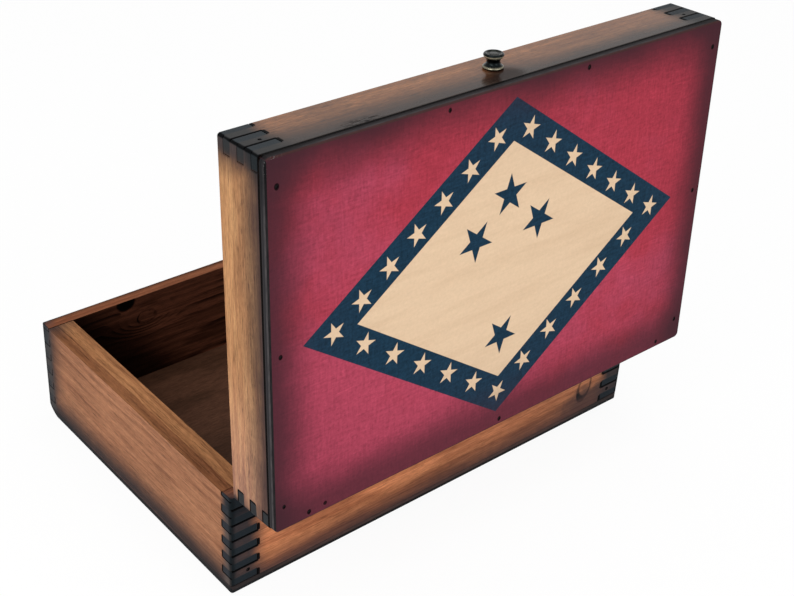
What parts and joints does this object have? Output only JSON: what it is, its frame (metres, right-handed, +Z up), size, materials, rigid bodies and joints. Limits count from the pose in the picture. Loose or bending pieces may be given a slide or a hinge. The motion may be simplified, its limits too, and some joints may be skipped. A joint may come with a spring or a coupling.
{
  "type": "memory box",
  "caption": "Shallow finger-jointed wooden box with a hinged lid that stands open on its hinges, a turned knob and nailed plywood panels.",
  "frame": {"origin": "middle of the base's underside", "axes": "+X along the front of the box, -Y towards the front with the knob, +Z up; the lid stands open at rest"},
  "size_m": [0.362, 0.286, 0.3326],
  "materials": {
    "end_board": "clear satin varnish over solid wood with torch-scorched edges",
    "long_board": "clear satin varnish over solid wood with torch-scorched edges",
    "bottom_ply": "stained plywood, scorched along its edge",
    "lid_ply": "plywood with a printed face under satin varnish, scorched along its edge",
    "antique_brass": "darkened, rubbed bright on its rims",
    "steel": "dark"
  },
  "bodies": {
    "base": {"base_front_wall": "long_board", "base_rear_wall": "long_board", "base_left_wall": "end_board", "base_right_wall": "end_board", "bottom_panel": "bottom_ply", "bottom_brads": "steel", "base_corner_brads": "steel", "left_hinge_base_leaf": "antique_brass", "right_hinge_base_leaf": "antique_brass", "left_hinge_pin": "steel", "right_hinge_pin": "steel", "base_hinge_screws": "antique_brass"},
    "lid": {"lid_front_rail": "long_board", "lid_rear_rail": "long_board", "lid_left_rail": "end_board", "lid_right_rail": "end_board", "lid_panel": "lid_ply", "lid_panel_brads": "steel", "lid_corner_brads": "steel", "left_hinge_lid_leaf": "antique_brass", "right_hinge_lid_leaf": "antique_brass", "lid_hinge_screws": "antique_brass", "lid_knob": "antique_brass", "knob_screw": "antique_brass"}
  },
  "joints": [
    {"name": "lid_hinge", "type": "hinge", "parent": "base", "child": "lid", "pos_m": [0, 0.1235, 0.0787], "axis": [1, 0, 0], "range_deg": [0, 87]}
  ]
}
